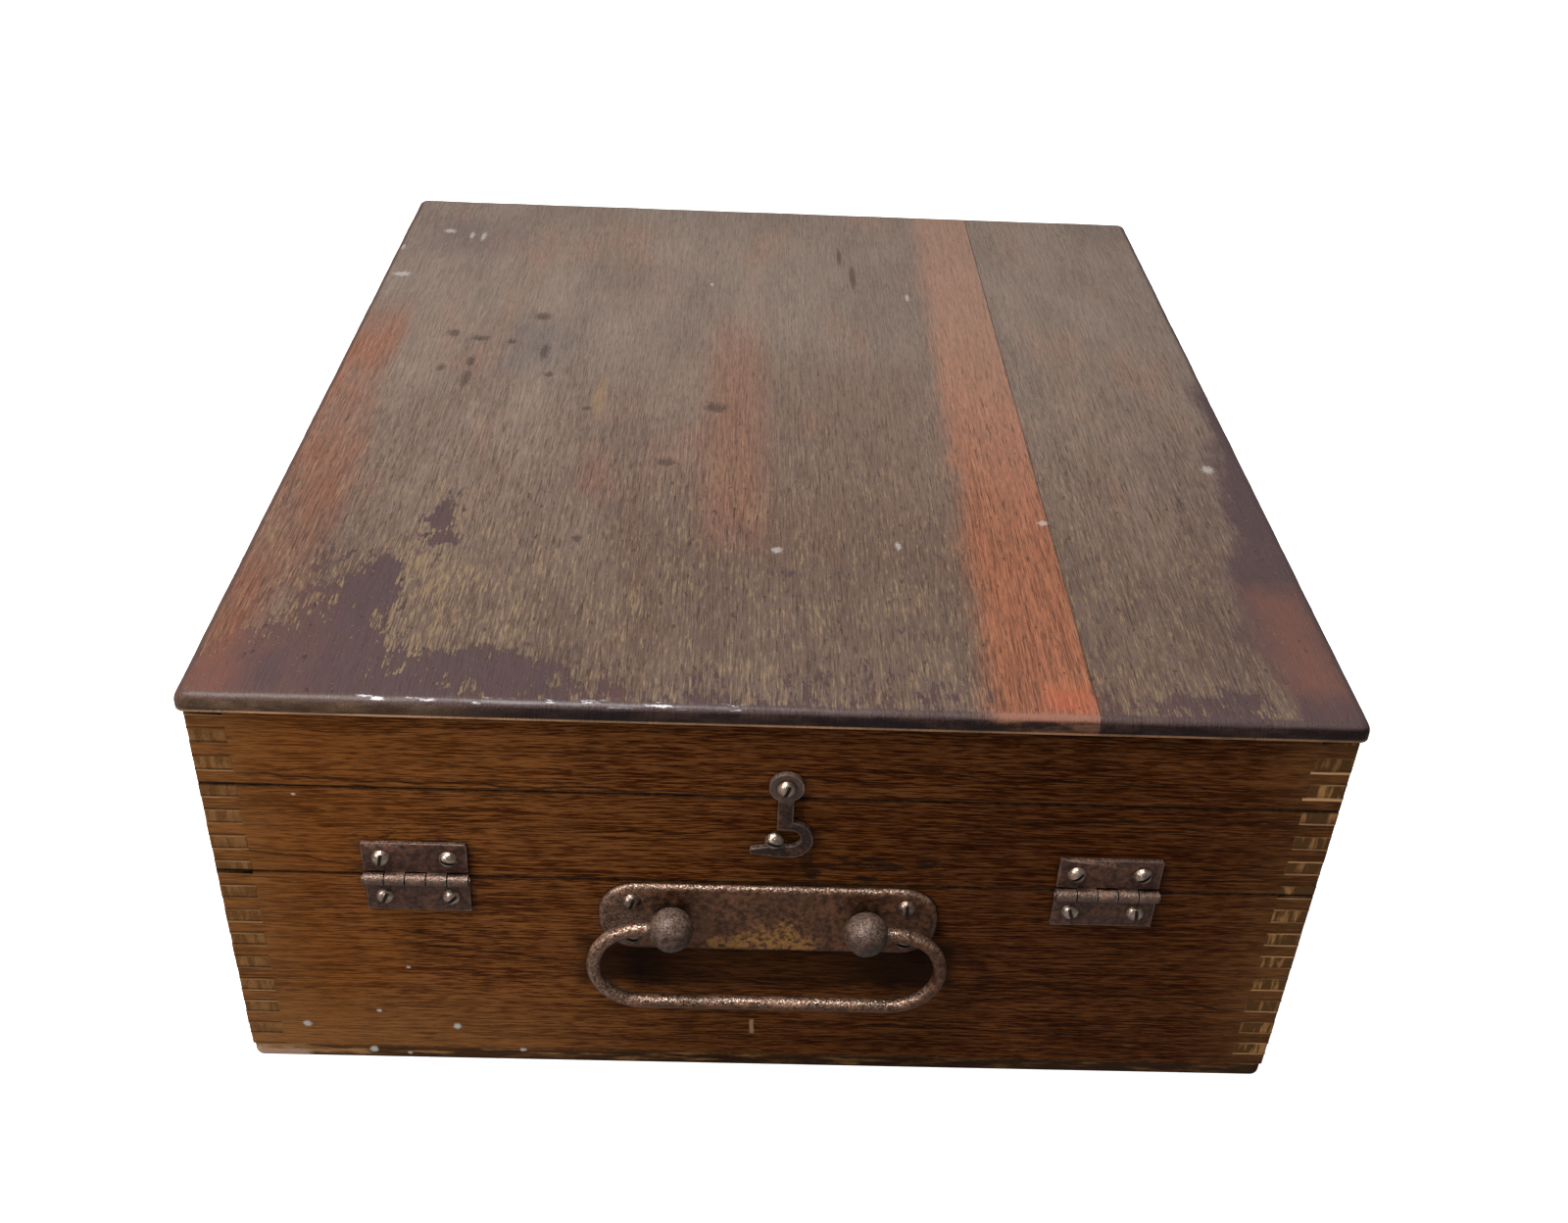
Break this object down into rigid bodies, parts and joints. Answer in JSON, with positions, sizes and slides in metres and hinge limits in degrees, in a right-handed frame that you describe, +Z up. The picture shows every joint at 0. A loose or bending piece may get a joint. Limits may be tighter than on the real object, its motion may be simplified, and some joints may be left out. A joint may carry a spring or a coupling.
{
  "type": "tea caddy",
  "caption": "Low wooden box with finger-jointed corners in stacked tiers: a forward-tipping tray over a divided base, a rear-hinged lid, hook latches and a front bail handle.",
  "frame": {"origin": "middle of the underside of the bottom board", "axes": "+X to the right as seen from the handle side, +Y from the handle side to the back, +Z up"},
  "size_m": [0.322, 0.3889, 0.1435],
  "materials": {
    "case_wood": "old brown stain and varnish, worn at the edges",
    "top_wood": "dark varnish worn through in streaks and patches",
    "inner_wood": "bare wood, darkened by age",
    "tinned_sheet": "dull tinned sheet",
    "screw_steel": "worn plating, tarnished",
    "handle_iron": "rusted, rubbed bright on its edges",
    "hinge_iron": "dark rust-brown, pitted"
  },
  "bodies": {
    "base": {"base_divider": "inner_wood", "base_front_board": "case_wood", "base_left_board": "case_wood", "base_rear_board": "case_wood", "base_right_board": "case_wood", "bottom_board": "case_wood", "front_hinge_left_lower_leaf": "hinge_iron", "front_hinge_left_pin": "hinge_iron", "front_hinge_lower_screws": "screw_steel", "front_hinge_right_lower_leaf": "hinge_iron", "front_hinge_right_pin": "hinge_iron", "handle_boss_left": "handle_iron", "handle_boss_right": "handle_iron", "handle_plate": "handle_iron", "handle_plate_screws": "screw_steel", "rear_hook_catch_screw": "screw_steel", "tea_liner_left": "tinned_sheet", "tea_liner_right": "tinned_sheet"},
    "tray": {"front_hinge_left_upper_leaf": "hinge_iron", "front_hinge_right_upper_leaf": "hinge_iron", "front_hinge_upper_screws": "screw_steel", "front_hook_catch_screw": "screw_steel", "rear_hinge_left_lower_leaf": "hinge_iron", "rear_hinge_left_pin": "hinge_iron", "rear_hinge_lower_screws": "screw_steel", "rear_hinge_right_lower_leaf": "hinge_iron", "rear_hinge_right_pin": "hinge_iron", "rear_hook_pivot_screw": "screw_steel", "tray_floor": "inner_wood", "tray_front_board": "case_wood", "tray_left_board": "case_wood", "tray_rear_board": "case_wood", "tray_right_board": "case_wood"},
    "lid": {"front_hook_pivot_screw": "screw_steel", "lid_front_board": "case_wood", "lid_left_board": "case_wood", "lid_rear_board": "case_wood", "lid_right_board": "case_wood", "rear_hinge_left_upper_leaf": "hinge_iron", "rear_hinge_right_upper_leaf": "hinge_iron", "rear_hinge_upper_screws": "screw_steel", "top_board_left": "top_wood", "top_board_right": "top_wood"},
    "bail": {"bail_handle": "handle_iron"},
    "front_hook": {"front_hook": "hinge_iron"},
    "rear_hook": {"rear_hook": "hinge_iron"}
  },
  "joints": [
    {"name": "tray_hinge", "type": "hinge", "parent": "base", "child": "tray", "pos_m": [0, -0.1871, 0.0793], "axis": [1, 0, 0], "range_deg": [0, 130]},
    {"name": "lid_hinge", "type": "hinge", "parent": "tray", "child": "lid", "pos_m": [0, 0.1871, 0.1116], "axis": [-1, 0, 0], "range_deg": [0, 150]},
    {"name": "bail_swing", "type": "hinge", "parent": "base", "child": "bail", "pos_m": [0, -0.193, 0.0675], "axis": [1, 0, 0], "range_deg": [-175, 10]},
    {"name": "front_hook_swing", "type": "hinge", "parent": "lid", "child": "front_hook", "pos_m": [0.0033, -0.186, 0.1166], "axis": [0, -1, 0], "range_deg": [0, 110]},
    {"name": "rear_hook_swing", "type": "hinge", "parent": "tray", "child": "rear_hook", "pos_m": [-0.0033, 0.186, 0.0843], "axis": [0, 1, 0], "range_deg": [0, 110]}
  ]
}
